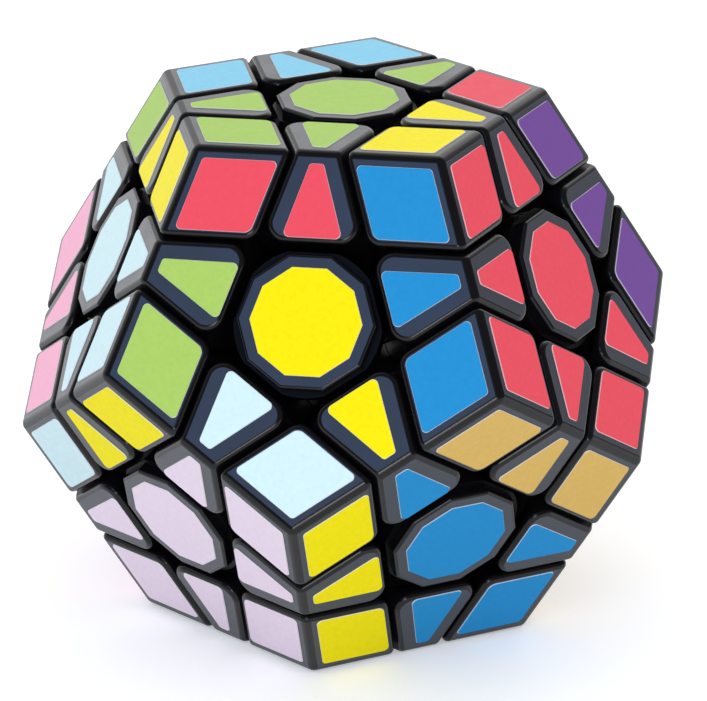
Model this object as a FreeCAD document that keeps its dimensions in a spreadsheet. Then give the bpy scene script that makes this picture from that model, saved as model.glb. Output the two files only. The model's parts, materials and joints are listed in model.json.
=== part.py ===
import FreeCAD, Part
import math
import os
from FreeCAD import Placement, Rotation, Vector

# A face-turning puzzle in the shape of a regular dodecahedron, resting on its base face.
# Every cut between its pieces is a surface of revolution about a face axis, so each face turns:
#   near the outside, a flat cut square to the face axis;
#   further in, a cone that leads towards the core;
#   at the feet, a wider cone under a ball surface, which hooks each piece under its neighbours.
# The three kinds of outer piece are made once, about the middle of the puzzle. Every piece is a
# link to one of them, turned into its place and lifted until the base face lies at height 0.

doc = FreeCAD.newDocument("dodecahedron_puzzle")

# ---------------------------------------------------------------- driving dimensions

SIZES = [
    ("edge_length", 31.5, "edge of the whole dodecahedron"),
    ("edge_width", 5.64, "width of an edge piece where it meets the outside edge"),
    ("slip_gap", 0.3, "clearance between pieces that slide on each other"),
    ("stem_spread", 8.3, "half angle of the stems' cone past the corners' direction, in degrees"),
    ("hook_spread", 5.3, "how much wider the cone at the feet is, in degrees"),
    ("foot_depth", 10.6, "from a face down to the top of the feet"),
    ("foot_height", 4.4, "height of the feet"),
    ("outside_round", 1.25, "rounding along the outside edges of the puzzle"),
    ("rim_round", 0.75, "rounding where a coloured side meets a cut"),
    ("tip_round", 2.3, "rounding of a corner piece's three inner tips"),
    ("shoulder_round", 2.0, "rounding of an edge piece's four inner shoulders"),
    ("boss_gap", 0.8, "from the edge pieces' inner side to the ten-sided boss"),
    ("boss_height", 1.6, "height of the ten-sided boss over its plate"),
    ("boss_round", 0.45, "rounding round the top of the boss"),
    ("plate_ledge", 0.5, "how far the plate stands out beyond the boss's corners"),
    ("plate_gap", 0.4, "from the edge pieces' inner side to the plate's flats"),
    ("post_reach", 2.0, "height of a screw post over the corners of the core"),
    ("hub_floor", 2.5, "thickness of the floor that the spring presses on"),
    ("pocket_gap", 0.4, "clearance round the washer in its pocket"),
    ("plug_depth", 2.2, "depth of the cap's plug under the plate"),
    ("plug_wall", 0.9, "wall of the cap's plug"),
    ("fit_gap", 0.1, "clearance of parts that are fitted and stay put"),
    ("shank_radius", 1.25, "radius of the screw's shank"),
    ("shank_length", 14.0, "length of the screw under its head"),
    ("head_radius", 2.8, "radius of the screw's head"),
    ("head_height", 1.9, "height of the screw's head"),
    ("head_round", 0.6, "rounding of the screw's head"),
    ("slot_width", 0.9, "width of the cross slot in the head"),
    ("slot_length", 3.6, "length of each arm pair of the cross slot"),
    ("slot_depth", 1.1, "depth of the cross slot"),
    ("washer_radius", 3.2, "radius of the washer"),
    ("washer_height", 0.5, "thickness of the washer"),
    ("coil_radius", 2.5, "radius of the spring, to the middle of its wire"),
    ("coil_length", 3.9, "length of the fitted spring, between the wire's middles"),
    ("half_turns", 8, "half turns of the spring"),
    ("wire_radius", 0.28, "radius of the spring's wire"),
]

# Fixed numbers of a regular dodecahedron: lengths for an edge of 1, and an angle in degrees.
INRADIUS = math.sqrt(250 + 110 * math.sqrt(5)) / 20
FACE_APOTHEM = 1 / (2 * math.tan(math.pi / 5))
CORNER_TO_FLAT = math.sqrt(15 - 6 * math.sqrt(5))
BETWEEN_AXES = math.degrees(math.atan(2))
TO_CORNER = math.degrees(math.acos(1 / CORNER_TO_FLAT))
SIDE_TO_DEPTH = math.sin(math.radians(72)) * math.sin(math.radians(BETWEEN_AXES))

DERIVED = [
    ("face_height", "Sizes.edge_length * %.12f" % INRADIUS),
    ("reach", "Sizes.edge_length * 2"),
    ("half_gap", "Sizes.slip_gap / 2"),
    ("layer_depth", "(Sizes.edge_length - Sizes.edge_width) / 2 * %.12f" % SIDE_TO_DEPTH),
    ("cut_height", "face_height - layer_depth"),
    ("row_apothem", "Sizes.edge_length * %.12f - layer_depth / sin(%.9f)"
     % (FACE_APOTHEM, BETWEEN_AXES)),
    ("stem_angle", "%.9f + Sizes.stem_spread" % TO_CORNER),
    ("foot_angle", "stem_angle + Sizes.hook_spread"),
    ("foot_top", "face_height - Sizes.foot_depth"),
    ("foot_base", "foot_top - Sizes.foot_height"),
    ("slack", "half_gap / foot_top * 180 / pi"),
    ("join_radius", "cut_height / cos(stem_angle)"),
    ("column_angle", "%.9f - stem_angle - slack" % BETWEEN_AXES),
    ("hub_angle", "%.9f - foot_angle - slack" % BETWEEN_AXES),
    ("core_corner", "foot_base - Sizes.slip_gap"),
    ("core_flat", "core_corner / %.12f" % CORNER_TO_FLAT),
    ("post_top", "core_corner + Sizes.post_reach"),
    ("pocket_radius", "Sizes.washer_radius + Sizes.pocket_gap"),
    ("plug_radius", "pocket_radius + Sizes.plug_wall"),
    ("hub_base", "post_top + Sizes.slip_gap"),
    ("pocket_base", "hub_base + Sizes.hub_floor"),
    ("spring_base", "pocket_base + Sizes.fit_gap + Sizes.wire_radius"),
    ("washer_base", "spring_base + Sizes.coil_length + Sizes.wire_radius + Sizes.fit_gap"),
    ("head_base", "washer_base + Sizes.washer_height"),
    ("plate_height", "face_height - Sizes.boss_height"),
    ("boss_apothem", "row_apothem - Sizes.boss_gap"),
    ("boss_corner", "boss_apothem / cos(18)"),
    ("plate_radius", "boss_corner + Sizes.plate_ledge"),
    ("plate_corner", "(row_apothem - Sizes.plate_gap) / cos(36)"),
]

sheet = doc.addObject("Spreadsheet::Sheet", "Sizes")
for row, (alias, number, note) in enumerate(SIZES, start=1):
    sheet.set("A%d" % row, alias)
    sheet.set("B%d" % row, str(number))
    sheet.set("C%d" % row, note)
    sheet.setAlias("B%d" % row, alias)

derived = doc.addObject("Spreadsheet::Sheet", "Derived")
for row, (alias, formula) in enumerate(DERIVED, start=1):
    derived.set("A%d" % row, alias)
    derived.set("B%d" % row, "=" + formula)
    derived.setAlias("B%d" % row, alias)
doc.recompute()

# ---------------------------------------------------------------- the twelve face axes


def ring_axis(rise, azimuth):
    """Unit vector at a rise above level and an azimuth from the front towards the right."""
    up, round_ = math.radians(rise), math.radians(azimuth)
    return Vector(math.cos(up) * math.sin(round_), -math.cos(up) * math.cos(round_), math.sin(up))


RISE = 90 - BETWEEN_AXES
UPPER = ["front", "right", "rear_right", "rear_left", "left"]
LOWER = ["low_front_right", "low_right", "low_rear", "low_left", "low_front_left"]

AXES = {"top": Vector(0, 0, 1)}
for place, face in enumerate(UPPER):
    AXES[face] = ring_axis(RISE, 72 * place)
for place, face in enumerate(LOWER):
    AXES[face] = ring_axis(-RISE, 72 * place + 36)
AXES["base"] = Vector(0, 0, -1)
FACES = list(AXES)


def meet(one, other):
    """Whether two faces share an edge of the dodecahedron."""
    return abs(AXES[one].dot(AXES[other]) - 1 / math.sqrt(5)) < 1e-6


EDGES = [(a, b) for a in FACES for b in FACES
         if FACES.index(a) < FACES.index(b) and meet(a, b)]
CORNERS = [(a, b, c) for a, b in EDGES for c in FACES
           if FACES.index(b) < FACES.index(c) and meet(a, c) and meet(b, c)]


def frame(first, second):
    """Rotation whose Z is one face axis and whose X leans to another."""
    side = second - first * first.dot(second)
    return Rotation(side, first.cross(side), first, "ZXY")


def carry(first, second):
    """Rotation that takes the top and front axes to two other meeting axes."""
    return frame(first, second).multiply(frame(AXES["top"], AXES["front"]).inverted())


# ---------------------------------------------------------------- building helpers


def make(kind, name, **bindings):
    """A document object with its properties bound to expressions in the two sheets."""
    item = doc.addObject(kind, name)
    for key, expression in bindings.items():
        item.setExpression(key.replace("__", "."), expression)
    return item


def gather(kind, name, parts):
    item = doc.addObject(kind, name)
    item.Shapes = parts
    return item


def common(name, *parts):
    return gather("Part::MultiCommon", name, list(parts))


def fuse(name, *parts):
    return gather("Part::MultiFuse", name, list(parts))


def cut(name, whole, tool):
    item = doc.addObject("Part::Cut", name)
    item.Base = whole
    item.Tool = tool
    return item


def link(item, rotation):
    """A turned copy of an object made about the vertical axis."""
    copy = doc.addObject("App::Link", item.Name + "_link")
    copy.LinkedObject = item
    copy.LinkTransform = True
    copy.Placement = Placement(Vector(), rotation)
    return copy


def about(item, face):
    """A copy of a body of revolution, turned from the vertical onto a face axis."""
    return link(item, Rotation(Vector(0, 0, 1), AXES[face]))


def cylinder(name, radius, base, height):
    return make("Part::Cylinder", name, Radius=radius, Height=height, Placement__Base__z=base)


def cone_from_middle(name, half_angle, height="Derived.reach"):
    """A solid cone whose point is the middle of the puzzle."""
    cone = make("Part::Cone", name, Height=height, Radius2="%s * tan(%s)" % (height, half_angle))
    cone.Radius1 = 0
    return cone


def cone_band(name, half_angle, low, high):
    """The part of such a cone between two heights."""
    return make("Part::Cone", name,
                Radius1="(%s) * tan(%s)" % (low, half_angle),
                Radius2="(%s) * tan(%s)" % (high, half_angle),
                Height="(%s) - (%s)" % (high, low), Placement__Base__z=low)


def ball(name, radius):
    return make("Part::Sphere", name, Radius=radius)


def planes_through(point, *heights):
    """How many planes square to a face axis, at the given heights, a point lies on."""
    return sum(abs(axis.dot(point) - height) < 1e-6
               for axis in AXES.values() for height in heights)


def outer_planes(point):
    return planes_through(point, derived.face_height)


def cut_planes(point):
    return planes_through(point, derived.cut_height + derived.half_gap,
                          derived.cut_height - derived.half_gap)


def middle(edge):
    return edge.valueAt((edge.FirstParameter + edge.LastParameter) / 2)


def round_edges(name, solid, radius, wanted):
    """A rounding of every edge that passes a test."""
    doc.recompute()
    item = doc.addObject("Part::Fillet", name)
    item.Base = solid
    item.Edges = [(number, radius, radius)
                  for number, edge in enumerate(solid.Shape.Edges, start=1) if wanted(edge)]
    return item


def is_upright(edge):
    """Between two flat cuts, running in from a coloured side."""
    return (outer_planes(middle(edge)) == 0 and cut_planes(middle(edge)) == 2
            and any(outer_planes(vertex.Point) for vertex in edge.Vertexes))


def is_outside(edge):
    return outer_planes(middle(edge)) == 2


def is_rim(edge):
    return outer_planes(middle(edge)) == 1 and cut_planes(middle(edge)) == 1


def rounded(name, block, inner_round):
    """Rounds a block's inner uprights, then its outside edges, then the rims of its sides."""
    uprights = round_edges(name + "_uprights", block, inner_round, is_upright)
    outsides = round_edges(name + "_outsides", uprights, sheet.outside_round, is_outside)
    return round_edges(name, outsides, sheet.rim_round, is_rim)


# ---------------------------------------------------------------- what the cuts are made of

layer = cylinder("layer", "Derived.reach", "Derived.cut_height + Derived.half_gap",
                 "Derived.layer_depth - Derived.half_gap")
under_layer = cylinder("under_layer", "Derived.reach",
                       "Derived.cut_height - Derived.half_gap - Derived.reach", "Derived.reach")
stem_cone = cone_from_middle("stem_cone", "Derived.stem_angle - Derived.slack")
foot_cone = cone_from_middle("foot_cone", "Derived.foot_angle - Derived.slack")
stem_ball = ball("stem_ball", "Derived.join_radius - Sizes.slip_gap")
foot_ball = ball("foot_ball", "Derived.foot_top - Derived.half_gap")
core_room = ball("core_room", "Derived.foot_base")

# The room that a neighbouring layer needs inside the flat cuts, to turn past a piece.
passing_room = fuse(
    "passing_room",
    common("passing_stem",
           cone_from_middle("passing_stem_cone", "Derived.stem_angle + Derived.slack"),
           ball("passing_stem_ball", "Derived.join_radius + Sizes.slip_gap")),
    common("passing_foot",
           cone_from_middle("passing_foot_cone", "Derived.foot_angle + Derived.slack"),
           ball("passing_foot_ball", "Derived.foot_top + Derived.half_gap")))

# ---------------------------------------------------------------- corner piece, in three layers

CORNER_LAYERS = ["top", "front", "right"]
corner_block = common("corner_block", *[about(layer, face) for face in CORNER_LAYERS])
corner_piece = cut(
    "corner_piece",
    fuse("corner_whole",
         rounded("corner_head", corner_block, sheet.tip_round),
         common("corner_stem", stem_ball, *[about(stem_cone, face) for face in CORNER_LAYERS]),
         common("corner_foot", foot_ball, *[about(foot_cone, face) for face in CORNER_LAYERS])),
    core_room)

# ---------------------------------------------------------------- edge piece, in two layers

EDGE_LAYERS = ["top", "front"]
EDGE_ENDS = ["right", "left"]
edge_block = common("edge_block", *([about(layer, face) for face in EDGE_LAYERS]
                                    + [about(under_layer, face) for face in EDGE_ENDS]))
edge_piece = cut(
    "edge_piece",
    fuse("edge_whole",
         rounded("edge_head", edge_block, sheet.shoulder_round),
         common("edge_stem", stem_ball, *[about(stem_cone, face) for face in EDGE_LAYERS]),
         common("edge_foot", foot_ball, *[about(foot_cone, face) for face in EDGE_LAYERS])),
    fuse("edge_room", core_room, *[about(passing_room, face) for face in EDGE_ENDS]))

# ---------------------------------------------------------------- centre: body and snap-in cap

PLATE_TURN = Rotation(Vector(0, 0, 1), 18)
plate_flats = make("Part::Prism", "plate_flats", Circumradius="Derived.plate_corner",
                   Height="Derived.face_height")
plate_flats.Polygon = 5
plate_flats.Placement = Placement(Vector(), PLATE_TURN)
column = common("column",
                cylinder("column_round", "Derived.plate_radius", "0", "Derived.plate_height"),
                plate_flats,
                cone_from_middle("column_cone", "Derived.column_angle"))
head_of_column = cut("head_of_column", column,
                     ball("feet_room", "Derived.foot_top + Derived.half_gap"))
hub = cone_band("hub", "Derived.hub_angle", "Derived.hub_base",
                "Derived.foot_top + Sizes.hub_floor")
centre_body = cut(
    "centre_body",
    fuse("centre_whole", head_of_column, hub),
    fuse("centre_hollow",
         cylinder("screw_bore", "Sizes.shank_radius + Sizes.slip_gap", "Derived.post_top",
                  "Derived.pocket_base - Derived.post_top + Sizes.fit_gap"),
         cylinder("spring_pocket", "Derived.pocket_radius", "Derived.pocket_base",
                  "Derived.face_height - Derived.pocket_base"),
         cylinder("plug_seat", "Derived.plug_radius + Sizes.fit_gap",
                  "Derived.plate_height - Sizes.plug_depth",
                  "Sizes.plug_depth + Sizes.boss_height")))

boss = make("Part::Prism", "boss", Circumradius="Derived.boss_corner", Height="Sizes.boss_height",
            Placement__Base__z="Derived.plate_height")
boss.Polygon = 10
boss_rim = round_edges("boss_rim", boss, sheet.boss_round,
                       lambda edge: outer_planes(middle(edge)) == 1)
plug = cut(
    "plug",
    cylinder("plug_outside", "Derived.plug_radius",
             "Derived.plate_height - Sizes.plug_depth + Sizes.fit_gap", "Sizes.plug_depth"),
    cylinder("plug_inside", "Derived.pocket_radius",
             "Derived.plate_height - Sizes.plug_depth", "Sizes.plug_depth"))
cap = fuse("cap", boss_rim, plug)

centre = doc.addObject("Part::Compound", "centre")
centre.Links = [centre_body, cap]

# ---------------------------------------------------------------- screw, washer and spring

screw_head = cylinder("screw_head", "Sizes.head_radius", "Derived.head_base", "Sizes.head_height")
HEAD_TOP = derived.head_base + sheet.head_height
domed_head = round_edges("domed_head", screw_head, sheet.head_round,
                         lambda edge: abs(middle(edge).z - HEAD_TOP) < 1e-6)


def slot_arm(name, along, across):
    """One bar of the cross slot, centred on the screw's axis."""
    return make("Part::Box", name, Length=along, Width=across, Height="Sizes.slot_depth",
                Placement__Base__x="-(%s) / 2" % along, Placement__Base__y="-(%s) / 2" % across,
                Placement__Base__z="Derived.head_base + Sizes.head_height - Sizes.slot_depth")


screw = cut(
    "screw",
    fuse("screw_whole", domed_head,
         cylinder("screw_shank", "Sizes.shank_radius", "Derived.head_base - Sizes.shank_length",
                  "Sizes.shank_length + Sizes.fit_gap")),
    fuse("cross_slot", slot_arm("slot_one", "Sizes.slot_length", "Sizes.slot_width"),
         slot_arm("slot_two", "Sizes.slot_width", "Sizes.slot_length")))

washer = cut(
    "washer",
    cylinder("washer_disc", "Sizes.washer_radius", "Derived.washer_base", "Sizes.washer_height"),
    cylinder("washer_hole", "Sizes.shank_radius + Sizes.fit_gap", "Derived.washer_base",
             "Sizes.washer_height"))

# Each half turn of the coil lies in a tilted plane, so it rises from one side to the other.
HALF_TURNS = round(sheet.half_turns)
RISE_OF_HALF = "Sizes.coil_length / %d" % HALF_TURNS
half_turn = make("Part::Torus", "half_turn", Radius2="Sizes.wire_radius",
                 Radius1="sqrt(pow(Sizes.coil_radius, 2) + pow(%s / 2, 2))" % RISE_OF_HALF)
half_turn.Angle3 = 180
half_turn.Placement = Placement(Vector(), Rotation(Vector(0, 1, 0), 1))
half_turn.setExpression("Placement.Rotation.Angle",
                        "atan(%s / 2 / Sizes.coil_radius)" % RISE_OF_HALF)
coil = []
for number in range(HALF_TURNS):
    piece = link(half_turn, Rotation(Vector(0, 0, 1), 180 * number))
    piece.setExpression("Placement.Base.z", "Derived.spring_base + %s * %.1f"
                        % (RISE_OF_HALF, number + 0.5))
    coil.append(piece)
spring = fuse("spring", *coil)

# ---------------------------------------------------------------- core with its twelve posts

core_side = cylinder("core_side", "Derived.reach", "Derived.core_flat - Derived.reach",
                     "Derived.reach")
post = cone_band("post", "Derived.hub_angle", "Derived.core_flat - Sizes.post_reach",
                 "Derived.post_top")
screw_hole = cylinder("screw_hole", "Sizes.shank_radius + Sizes.fit_gap / 2",
                      "Derived.head_base - Sizes.shank_length - Sizes.slip_gap",
                      "Sizes.shank_length")
core_solid = cut(
    "core_solid",
    fuse("core_whole", common("core_block", *[about(core_side, face) for face in FACES]),
         *[about(post, face) for face in FACES]),
    fuse("core_holes", *[about(screw_hole, face) for face in FACES]))

# ---------------------------------------------------------------- every piece in its place

nodes = []


def lift(item):
    """Raises a piece made about the middle until the base face lies at height 0."""
    item.setExpression("Placement.Base.z", "Derived.face_height")
    return item


def place(label, master, first, second):
    """A named piece: its master, carried from the top and front axes to two others."""
    item = lift(link(master, carry(AXES[first], AXES[second])))
    item.Label = label
    return item


def group(label, parts):
    item = doc.addObject("Part::Compound", label)
    item.Label = label
    item.Links = parts
    return item


def right_handed(corner):
    """The corner's three faces, in the same turning sense as top, front and right."""
    a, b, c = corner
    return (a, b, c) if AXES[a].dot(AXES[b].cross(AXES[c])) > 0 else (a, c, b)


def all_round(label, item):
    return lift(group(label, [about(item, face) for face in FACES]))


core = lift(link(core_solid, Rotation()))
core.Label = "core"
nodes.append(core)
nodes.append(lift(group("screws_and_washers",
                        [about(item, face) for item in (screw, washer) for face in FACES])))
nodes.append(all_round("springs", spring))

for face in FACES:
    neighbour = next(other for other in FACES if meet(face, other))
    nodes.append(place("centre_" + face, centre, face, neighbour))

# The three outer layers round the base carry its corner pieces with their standing edge pieces.
base_corners = {corner[:2]: corner for corner in CORNERS if corner[2] == "base"}
for edge in EDGES:
    label = "edge_" + "_".join(edge)
    if edge in base_corners:
        corner = right_handed(base_corners[edge])
        nodes.append(group("edge_and_base_corner_" + "_".join(edge),
                           [place(label, edge_piece, *edge),
                            place(label + "_corner", corner_piece, *corner[:2])]))
    else:
        nodes.append(place(label, edge_piece, *edge))

for corner in CORNERS:
    if corner[2] != "base":
        nodes.append(place("corner_" + "_".join(corner), corner_piece, *right_handed(corner)[:2]))

# ---------------------------------------------------------------- check and write

doc.recompute()
for item in doc.Objects:
    if "Invalid" in item.State or "Error" in item.State:
        raise RuntimeError("%s did not compute: %s" % (item.Label, item.State))

shapes = {}
for node in nodes:
    shape = Part.getShape(node)
    if shape.isNull() or not shape.isValid() or not shape.Solids:
        raise RuntimeError("%s has no valid shape" % node.Label)
    shapes[node.Label] = shape

os.makedirs("parts", exist_ok=True)
for label, shape in shapes.items():
    shape.exportStep("parts/%s.step" % label)
    print(label, len(shape.Solids), round(shape.Volume, 1))
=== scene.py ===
import json
import math
import bpy
from mathutils import Matrix, Vector

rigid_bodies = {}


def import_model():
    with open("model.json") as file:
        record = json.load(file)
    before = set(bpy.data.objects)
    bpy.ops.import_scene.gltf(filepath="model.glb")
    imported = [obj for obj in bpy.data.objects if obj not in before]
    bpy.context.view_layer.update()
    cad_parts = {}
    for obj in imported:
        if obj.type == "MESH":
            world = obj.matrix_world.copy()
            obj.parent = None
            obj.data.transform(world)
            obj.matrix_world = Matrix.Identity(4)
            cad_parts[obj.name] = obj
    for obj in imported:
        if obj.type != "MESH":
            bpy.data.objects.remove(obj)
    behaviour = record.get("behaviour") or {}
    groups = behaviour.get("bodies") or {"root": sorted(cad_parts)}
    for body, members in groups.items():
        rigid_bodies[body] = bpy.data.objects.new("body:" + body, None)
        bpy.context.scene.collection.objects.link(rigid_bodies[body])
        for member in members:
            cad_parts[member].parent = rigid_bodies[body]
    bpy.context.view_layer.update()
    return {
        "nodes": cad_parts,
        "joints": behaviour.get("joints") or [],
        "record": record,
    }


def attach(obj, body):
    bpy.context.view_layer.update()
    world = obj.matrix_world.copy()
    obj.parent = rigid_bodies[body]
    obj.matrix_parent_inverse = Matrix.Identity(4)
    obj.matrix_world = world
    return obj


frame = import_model()

# The core. A black moulded block with twelve posts, one under each face, that the screws
# bite into. It is hidden inside the puzzle and keeps the dull skin it left the mould with.

MM = 0.001
record = frame["record"]
nodes = frame["nodes"]
rides_on = {node: body for body, held in record["behaviour"]["bodies"].items() for node in held}
face_turns = [joint for joint in frame["joints"] if joint["parent"] == rides_on["core"]]
middle = Vector(face_turns[0]["pos_m"])
face_height = middle.z


def new_finish(name, colour, roughness):
    """A material of one plain colour, with its shader and its node maker."""
    material = bpy.data.materials.new(name)
    material.use_nodes = True
    tree = material.node_tree
    shader = tree.nodes["Principled BSDF"]
    shader.inputs["Base Color"].default_value = (*colour, 1)
    shader.inputs["Roughness"].default_value = roughness
    return material, tree, shader


def grain(tree, scale, detail=3.0):
    """Fine noise through the solid, with so many grains to a metre."""
    place = tree.nodes.new("ShaderNodeTexCoord")
    noise = tree.nodes.new("ShaderNodeTexNoise")
    noise.inputs["Scale"].default_value = scale
    noise.inputs["Detail"].default_value = detail
    tree.links.new(place.outputs["Object"], noise.inputs["Vector"])
    return noise.outputs["Fac"]


def spread(tree, noise, low, high):
    """The noise's middle half stretched over a range of values."""
    ranged = tree.nodes.new("ShaderNodeMapRange")
    ranged.inputs["From Min"].default_value = 0.25
    ranged.inputs["From Max"].default_value = 0.75
    ranged.inputs["To Min"].default_value = low
    ranged.inputs["To Max"].default_value = high
    tree.links.new(noise, ranged.inputs["Value"])
    return ranged.outputs["Result"]


def roughen(tree, shader, noise, depth):
    """A bump of so many metres that follows the noise."""
    bump = tree.nodes.new("ShaderNodeBump")
    bump.inputs["Distance"].default_value = depth
    tree.links.new(noise, bump.inputs["Height"])
    tree.links.new(bump.outputs["Normal"], shader.inputs["Normal"])


def moulded_plastic(name, colour, smooth, dull, texture_depth):
    """Black plastic whose gloss and skin vary a little from place to place."""
    material, tree, shader = new_finish(name, colour, dull)
    tree.links.new(spread(tree, grain(tree, 260), smooth, dull), shader.inputs["Roughness"])
    roughen(tree, shader, grain(tree, 4200, 2.0), texture_depth)
    return material


def wear(node, *materials):
    """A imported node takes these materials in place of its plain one."""
    mesh = nodes[node].data
    mesh.materials.clear()
    for material in materials:
        mesh.materials.append(material)


core_skin = moulded_plastic("core_skin", (0.020, 0.020, 0.023), 0.45, 0.60, 0.00003)
wear("core", core_skin)


# The screws, washers and springs. Zinc-plated steel screws with cross slots hold the twelve
# centres down through coil springs, which give the turning its give. All sit under the caps.


def drawn_steel(name, colour, smooth, dull, streaks):
    """Bright steel with fine marks left by the tool that shaped it."""
    material, tree, shader = new_finish(name, colour, dull)
    shader.inputs["Metallic"].default_value = 1.0
    tree.links.new(spread(tree, grain(tree, streaks), smooth, dull), shader.inputs["Roughness"])
    roughen(tree, shader, grain(tree, 3 * streaks), 0.00001)
    return material


wear("screws_and_washers", drawn_steel("zinc_plate", (0.62, 0.63, 0.66), 0.22, 0.38, 900))
wear("springs", drawn_steel("spring_wire", (0.50, 0.50, 0.52), 0.25, 0.40, 1500))


# The outer pieces: twelve centres, thirty edges and twenty corners. Injection-moulded black
# plastic with a satin skin on the outside flats, where the stickers go, and smoother, glossier
# sides, which slide on one another and show in the gaps. The flats' near-black is tinted navy,
# which is a painted blue sheen.

# The flats' own near-black, tinted navy: the blue is a painted reflection of cool light.
BLACK_WITH_PAINTED_BLUE_SHEEN = (0.014, 0.020, 0.034)
GLOSSY_BLACK = (0.004, 0.004, 0.005)
# Painted shade: the sunk ledges below the flats get a darker black than the sides.
PAINTED_SHADE_BLACK = (0.003, 0.003, 0.004)
FINE_TEXTURE = 0.012 * MM
POLISH_TEXTURE = 0.003 * MM
FLAT_HAZE = 0.12
HAZE_SPREAD = 0.35
SIDE_SHINE = 0.30
LEDGE_SHINE = 0.06


def set_shader(material, **values):
    """Sets plain values on a material's shader, each by its socket's name."""
    shader = material.node_tree.nodes["Principled BSDF"]
    for name, value in values.items():
        shader.inputs[name.replace("_", " ")].default_value = value


flat_skin = moulded_plastic("satin_flats_painted_sheen", BLACK_WITH_PAINTED_BLUE_SHEEN, 0.29, 0.37, FINE_TEXTURE)
set_shader(flat_skin, Sheen_Weight=FLAT_HAZE, Sheen_Roughness=HAZE_SPREAD)
side_skin = moulded_plastic("polished_sides", GLOSSY_BLACK, 0.16, 0.22, POLISH_TEXTURE)
set_shader(side_skin, Specular_IOR_Level=SIDE_SHINE)
# The sunk ledges: a darker, barely shiny black, which is painted shade of the recess between
# pieces.
ledge_painted_shade = moulded_plastic("ledges_painted_shade", PAINTED_SHADE_BLACK, 0.30, 0.40, FINE_TEXTURE)
set_shader(ledge_painted_shade, Specular_IOR_Level=LEDGE_SHINE)

axes = {joint["child"].removeprefix("centre_"): Vector(joint["axis"]) for joint in face_turns}
axes["base"] = Vector((0, 0, -1))

ON_FLAT = 0.02 * MM
SQUARE_ON = 0.9999
ON_SIDES, ON_FLATS, ON_PAINTED_SHADE = range(3)
for node in nodes:
    if node.startswith(("centre_", "edge_", "corner_")):
        wear(node, side_skin, flat_skin, ledge_painted_shade)
        for polygon in nodes[node].data.polygons:
            polygon.material_index = ON_SIDES
            for axis in axes.values():
                if polygon.normal.dot(axis) > SQUARE_ON:
                    sunk = face_height - (polygon.center - middle).dot(axis)
                    polygon.material_index = ON_FLATS if sunk < ON_FLAT else ON_PAINTED_SHADE


# The centre stickers. Ten-sided pieces of coloured vinyl film, cut sharp, one on each centre's
# raised ten-sided boss. Twelve colours, one to a face; the film's cut edge is painted paler, as a
# painted highlight along it.

FILM = 0.12 * MM
GLUE = 0.01 * MM
CUT_SLOPE = 0.06 * MM
FILM_SHINE = 0.04
FILM_HAZE = 0.09
FILM_SKIN = 0.006 * MM
DARKEST_CLOUD = 0.955
PALEST_CLOUD = 1.03
PALER = 0.45

VINYL = {
    "yellow": (0.900, 0.780, 0.003),
    "green": (0.390, 0.590, 0.125),
    "red": (0.810, 0.080, 0.115),
    "purple": (0.170, 0.070, 0.310),
    "sky_blue": (0.235, 0.600, 0.800),
    "aqua": (0.620, 0.820, 0.860),
    "blue": (0.018, 0.265, 0.590),
    "gold": (0.690, 0.460, 0.130),
    "pink": (0.900, 0.440, 0.600),
    "lilac": (0.820, 0.700, 0.820),
    "dark_green": (0.030, 0.270, 0.095),
    "orange": (0.890, 0.270, 0.030),
}


def vinyl(colour):
    """Printed film: almost even, with the faint cloudiness and orange peel of thin vinyl."""
    material, tree, shader = new_finish("vinyl_" + colour, VINYL[colour], 0.42)
    set_shader(material, Specular_IOR_Level=FILM_SHINE, Sheen_Weight=FILM_HAZE,
               Sheen_Roughness=HAZE_SPREAD)
    clouds = tree.nodes.new("ShaderNodeMix")
    clouds.data_type = "RGBA"
    clouds.inputs["A"].default_value = (*[DARKEST_CLOUD * part for part in VINYL[colour]], 1)
    clouds.inputs["B"].default_value = (*[PALEST_CLOUD * part for part in VINYL[colour]], 1)
    tree.links.new(spread(tree, grain(tree, 1500, 4.0), 0.0, 1.0), clouds.inputs["Factor"])
    tree.links.new(clouds.outputs["Result"], shader.inputs["Base Color"])
    tree.links.new(spread(tree, grain(tree, 500), 0.38, 0.48), shader.inputs["Roughness"])
    roughen(tree, shader, grain(tree, 2500), FILM_SKIN)
    return material


def edge_highlight_film(colour):
    """The film's cut edge, painted paler than its printed face as a highlight along it."""
    pale = [PALER * part + PALER for part in VINYL[colour]]
    material, tree, shader = new_finish("film_edge_highlight_" + colour, pale, 0.5)
    tree.links.new(spread(tree, grain(tree, 3000), 0.45, 0.60), shader.inputs["Roughness"])
    return material


FILMS = {colour: (vinyl(colour), edge_highlight_film(colour)) for colour in VINYL}


def towards(face, neighbour):
    """Unit vector in a face's plane that points at a neighbouring face."""
    return axes[neighbour].cross(axes[face]).cross(axes[face]).normalized() * -1


def crossing(one, other):
    """Where two sides meet. A side is a direction square to it and its distance."""
    (a, reach_a), (b, reach_b) = one, other
    lean = a.dot(b)
    return (a * (reach_a - lean * reach_b) + b * (reach_b - lean * reach_a)) / (1 - lean * lean)


STEP_ROUND = math.radians(9)


def rounded_outline(sides, radii):
    """Points round a shape, counted by its sides in order, with each corner rounded."""
    points = []
    for place, radius in enumerate(radii):
        before, after = sides[place - 1], sides[place]
        corner = crossing(before, after)
        if radius == 0:
            points.append(corner)
            continue
        centre = crossing((before[0], before[1] - radius), (after[0], after[1] - radius))
        turn = before[0].angle(after[0])
        steps = max(3, round(turn / STEP_ROUND))
        for step in range(steps + 1):
            share = step / steps
            out = (before[0] * math.sin((1 - share) * turn) + after[0] * math.sin(share * turn))
            points.append(centre + out / math.sin(turn) * radius)
    return points


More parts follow.
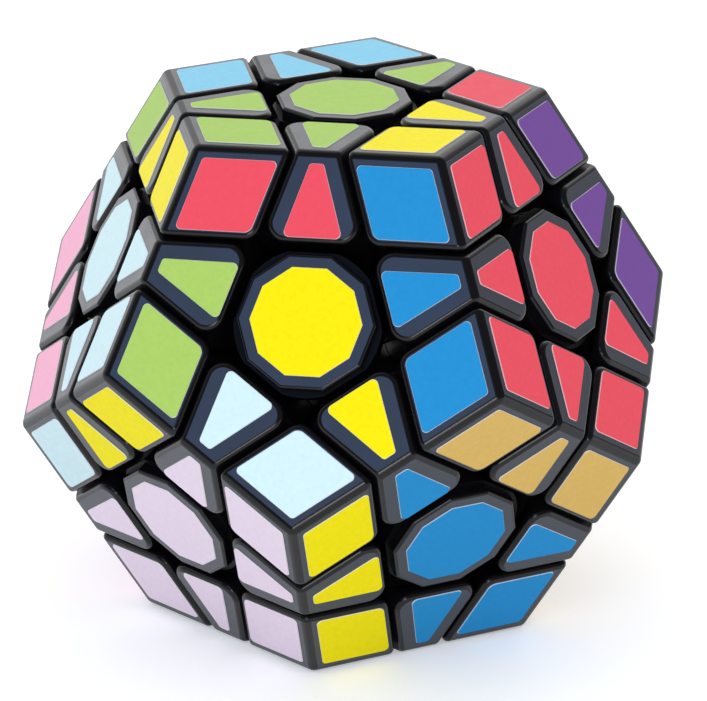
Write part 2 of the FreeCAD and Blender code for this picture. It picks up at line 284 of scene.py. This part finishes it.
def stick(name, face, sides, radii, colour, node):
    """Cuts a sticker to its outline and puts it on a piece's side."""
    axis = axes[face]
    inset = [(direction, reach - CUT_SLOPE) for direction, reach in sides]
    low = middle + axis * (face_height + GLUE)
    high = low + axis * FILM
    bottom = [low + point for point in rounded_outline(sides, radii)]
    top = [high + point for point in rounded_outline(inset, radii)]
    count = len(top)
    skirt = [(i, (i + 1) % count, count + (i + 1) % count, count + i) for i in range(count)]
    mesh = bpy.data.meshes.new(name)
    mesh.from_pydata(bottom + top, [], [tuple(range(count, 2 * count)), *skirt,
                                        tuple(reversed(range(count)))])
    for material in FILMS[colour]:
        mesh.materials.append(material)
    for polygon in mesh.polygons:
        polygon.material_index = 0 < polygon.index <= count
    sticker = bpy.data.objects.new(name, mesh)
    bpy.context.scene.collection.objects.link(sticker)
    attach(sticker, rides_on[node])


def meet(one, other):
    """Whether two faces share an edge."""
    return 0.4 < axes[one].dot(axes[other]) < 0.5


CENTRES = {
    "top": "green", "front": "yellow", "right": "red", "rear_right": "purple",
    "rear_left": "sky_blue", "left": "aqua", "low_front_right": "blue", "low_right": "gold",
    "low_rear": "dark_green", "low_left": "pink", "low_front_left": "lilac", "base": "orange",
}
DECAGON_APOTHEM = 6.88 * MM

for face, colour in CENTRES.items():
    first = towards(face, next(other for other in axes if meet(face, other)))
    sides = [(Matrix.Rotation(math.radians(36 * turn), 3, axes[face]) @ first, DECAGON_APOTHEM)
             for turn in range(10)]
    stick("sticker_" + face, face, sides, [0] * 10, colour, "centre_" + face)


# The edge stickers. A trapezium of the same film on each side of the thirty edge pieces, its
# wide side towards the centre and its corners rounded to match the moulding.

EDGES = {
    "top front": "green red", "top right": "yellow red", "top rear_right": "green purple",
    "top rear_left": "sky_blue green", "top left": "green yellow", "front right": "blue red",
    "front left": "green aqua", "front low_front_right": "yellow blue",
    "front low_front_left": "aqua lilac", "right rear_right": "purple dark_green",
    "right low_front_right": "red gold", "right low_right": "red purple",
    "rear_right rear_left": "purple sky_blue", "rear_right low_right": "purple gold",
    "rear_right low_rear": "pink orange", "rear_left left": "sky_blue aqua",
    "rear_left low_rear": "sky_blue dark_green", "rear_left low_left": "sky_blue pink",
    "left low_left": "pink aqua", "left low_front_left": "aqua yellow",
    "low_front_right low_right": "blue gold", "low_front_right low_front_left": "yellow lilac",
    "low_front_right base": "blue orange", "low_right low_rear": "gold dark_green",
    "low_right base": "gold orange", "low_rear low_left": "dark_green pink",
    "low_rear base": "dark_green orange", "low_left low_front_left": "pink lilac",
    "low_left base": "blue lilac", "low_front_left base": "lilac orange",
}
ROW = 9.38 * MM
OUTSIDE = 21.68 * MM
EDGE_INNER_MARGIN = 1.25 * MM
EDGE_TALL = 9.5 * MM
EDGE_WIDE = 7.8 * MM
EDGE_NARROW = 1.8 * MM
EDGE_INNER_ROUND = 0.7 * MM
EDGE_OUTER_ROUND = 0.5 * MM


def node_for(*faces):
    """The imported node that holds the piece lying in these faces."""
    tail = "_".join(face for face in CENTRES if face in faces)
    return next(name for name in nodes if name.endswith(("edge_" + tail, "corner_" + tail)))


for faces, colours in EDGES.items():
    faces, colours = faces.split(), colours.split()
    for (face, other), colour in zip((faces, faces[::-1]), colours):
        out = towards(face, other)
        across = axes[face].cross(out)
        low = ROW + EDGE_INNER_MARGIN
        lean = math.atan2((EDGE_WIDE - EDGE_NARROW) / 2, EDGE_TALL)
        ends = [out * math.sin(lean) + across * turn * math.cos(lean) for turn in (1, -1)]
        side = low * math.sin(lean) + EDGE_WIDE / 2 * math.cos(lean)
        sides = [(out, low + EDGE_TALL), (ends[0], side), (-out, -low), (ends[1], side)]
        radii = [EDGE_OUTER_ROUND, EDGE_OUTER_ROUND, EDGE_INNER_ROUND, EDGE_INNER_ROUND]
        stick("sticker_%s_%s" % (face, other), face, sides, radii, colour, node_for(*faces))


# The corner stickers. A rhombus of film on each of the three sides of the twenty corner
# pieces, more rounded at the tip that points to the centre than at the other three.

CORNERS = {
    "top front right": "yellow blue red", "top left front": "green yellow red",
    "top right rear_right": "red purple green",
    "top rear_right rear_left": "sky_blue green purple",
    "top rear_left left": "sky_blue aqua green",
    "front low_front_right right": "blue gold red",
    "front left low_front_left": "green aqua yellow",
    "front low_front_left low_front_right": "aqua lilac yellow",
    "right low_right rear_right": "purple dark_green sky_blue",
    "right low_front_right low_right": "red gold purple",
    "rear_right low_rear rear_left": "blue lilac orange",
    "rear_right low_right low_rear": "purple gold dark_green",
    "rear_left low_left left": "aqua sky_blue pink",
    "rear_left low_rear low_left": "sky_blue dark_green pink",
    "left low_left low_front_left": "pink lilac aqua",
    "low_front_right base low_right": "blue orange gold",
    "low_front_right low_front_left base": "yellow lilac blue",
    "low_right base low_rear": "gold orange dark_green",
    "low_rear base low_left": "dark_green orange pink",
    "low_left base low_front_left": "pink orange lilac",
}
CORNER_MARGIN = 1.50 * MM
CORNER_ROUND = 0.6 * MM
TIP_ROUND = 1.2 * MM


def corner_node(faces):
    """Corner pieces on the base share a node with the edge piece that stands on them."""
    if "base" in faces:
        return node_for(*[face for face in faces if face != "base"])
    return node_for(*faces)


for faces, colours in CORNERS.items():
    faces = faces.split()
    for place, colour in enumerate(colours.split()):
        face, one, other = faces[place], faces[place - 2], faces[place - 1]
        a, b = towards(face, one), towards(face, other)
        near, far = ROW + CORNER_MARGIN, OUTSIDE - CORNER_MARGIN
        sides = [(-b, -near), (-a, -near), (b, far), (a, far)]
        if a.cross(b).dot(axes[face]) < 0:
            sides.reverse()
        radii = [TIP_ROUND if {sides[i - 1][1], sides[i][1]} == {-near} else CORNER_ROUND
                 for i in range(4)]
        stick("sticker_%s_%s_%s" % (face, one, other), face, sides, radii, colour,
              corner_node(faces))


# The table and the light. A white sheet lies under soft lamps: a wide one above and behind,
# a small cool one and a low warm one before the puzzle, and a low one at its left rear.

FLOOR_RADIUS = 2.5
FLOOR_SIDES = 96
SHEET_WHITE = (0.82, 0.82, 0.82)
SHEET_GLOW = (0.93, 0.96, 1, 1)
SHEET_LIFT = 0.36

floor_mesh = bpy.data.meshes.new("table_top")
rim = [(FLOOR_RADIUS * math.cos(2 * math.pi * i / FLOOR_SIDES),
        FLOOR_RADIUS * math.sin(2 * math.pi * i / FLOOR_SIDES), -GLUE - FILM)
       for i in range(FLOOR_SIDES)]
floor_mesh.from_pydata(rim, [], [tuple(range(FLOOR_SIDES))])
floor = bpy.data.objects.new("table_top", floor_mesh)
bpy.context.scene.collection.objects.link(floor)

sheet, tree, shader = new_finish("white_sheet", SHEET_WHITE, 0.9)
set_shader(sheet, Specular_IOR_Level=0.0, Emission_Color=SHEET_GLOW)
path = tree.nodes.new("ShaderNodeLightPath")
seen = tree.nodes.new("ShaderNodeMath")
seen.operation = "MAXIMUM"
lift = tree.nodes.new("ShaderNodeMath")
lift.operation = "MULTIPLY"
lift.inputs[1].default_value = SHEET_LIFT
tree.links.new(path.outputs["Is Camera Ray"], seen.inputs[0])
tree.links.new(path.outputs["Is Glossy Ray"], seen.inputs[1])
tree.links.new(seen.outputs["Value"], lift.inputs[0])
tree.links.new(lift.outputs["Value"], shader.inputs["Emission Strength"])
floor_mesh.materials.append(sheet)

world = bpy.data.worlds.new("studio")
bpy.context.scene.world = world
world.use_nodes = True
sky = world.node_tree.nodes["Background"]
sky.inputs["Color"].default_value = (1, 1, 1, 1)
nodes_of_world = world.node_tree.nodes
link_world = world.node_tree.links.new
path = nodes_of_world.new("ShaderNodeLightPath")
heading = nodes_of_world.new("ShaderNodeTexCoord")
behind = nodes_of_world.new("ShaderNodeVectorMath")
behind.operation = "DOT_PRODUCT"
behind.inputs[1].default_value = (-0.5, 0.87, 0)
link_world(heading.outputs["Generated"], behind.inputs[0])

# Light comes from all round. Reflections see a white room behind the puzzle and a dim one
# before it, and the camera sees plain white.
ROOM_LIGHT = 0.95
DIM, WHITE = 0.15, 1.0
DIM_UP_TO, WHITE_FROM = 0.0, 0.6
room = nodes_of_world.new("ShaderNodeMapRange")
room.interpolation_type = "SMOOTHSTEP"
for end, value in (("From Min", DIM_UP_TO), ("From Max", WHITE_FROM),
                   ("To Min", DIM), ("To Max", WHITE)):
    room.inputs[end].default_value = value
link_world(behind.outputs["Value"], room.inputs["Value"])

glossy = nodes_of_world.new("ShaderNodeMix")
glossy.inputs["A"].default_value = ROOM_LIGHT
link_world(path.outputs["Is Glossy Ray"], glossy.inputs["Factor"])
link_world(room.outputs["Result"], glossy.inputs["B"])
seen = nodes_of_world.new("ShaderNodeMix")
seen.inputs["B"].default_value = WHITE
link_world(path.outputs["Is Camera Ray"], seen.inputs["Factor"])
link_world(glossy.outputs["Result"], seen.inputs["A"])
link_world(seen.outputs["Result"], sky.inputs["Strength"])


def lamp(name, azimuth, elevation, distance, width, power, colour):
    """A square soft lamp aimed at the puzzle. Azimuth runs from the front to the right."""
    around, up = math.radians(azimuth), math.radians(elevation)
    away = Vector((math.cos(up) * math.sin(around), -math.cos(up) * math.cos(around), math.sin(up)))
    data = bpy.data.lights.new(name, "AREA")
    data.size = width
    data.energy = power
    data.color = colour
    item = bpy.data.objects.new(name, data)
    item.location = middle + away * distance
    item.rotation_euler = (-away).to_track_quat("-Z", "Y").to_euler()
    bpy.context.scene.collection.objects.link(item)


lamp("overhead", 172, 30, 0.9, 0.7, 1.0, (1.0, 0.99, 0.97))
lamp("front_cool", -9, 33, 1.0, 0.36, 1.15, (0.24, 0.46, 1.0))
lamp("low_front", 8, 9, 1.2, 0.3, 2.5, (1.0, 0.97, 0.93))
lamp("rear_left", -130, 14, 1.2, 0.5, 1.15, (1.0, 1.0, 1.0))


# The camera. It stands before the puzzle, a little to its right and above it, and looks at its
# middle through a long lens from well away, so that the faces hardly taper.

AZIMUTH = 8.8
ELEVATION = 21.4
DISTANCE = 18.9 * face_height
ASIDE = 0.034 * face_height
BELOW = 0.0085 * face_height
LENS = 254.1

around, up = math.radians(AZIMUTH), math.radians(ELEVATION)
back = Vector((math.sin(around) * math.cos(up), -math.cos(around) * math.cos(up), math.sin(up)))
turned = back.to_track_quat("Z", "Y")
camera = bpy.data.objects.new("camera", bpy.data.cameras.new("camera"))
camera.data.lens = LENS
camera.location = middle + back * DISTANCE + turned @ Vector((ASIDE, -BELOW, 0))
camera.rotation_euler = turned.to_euler()
camera.data.clip_end = 10
bpy.context.scene.collection.objects.link(camera)
bpy.context.scene.camera = camera
bpy.context.scene.view_settings.view_transform = "Standard"
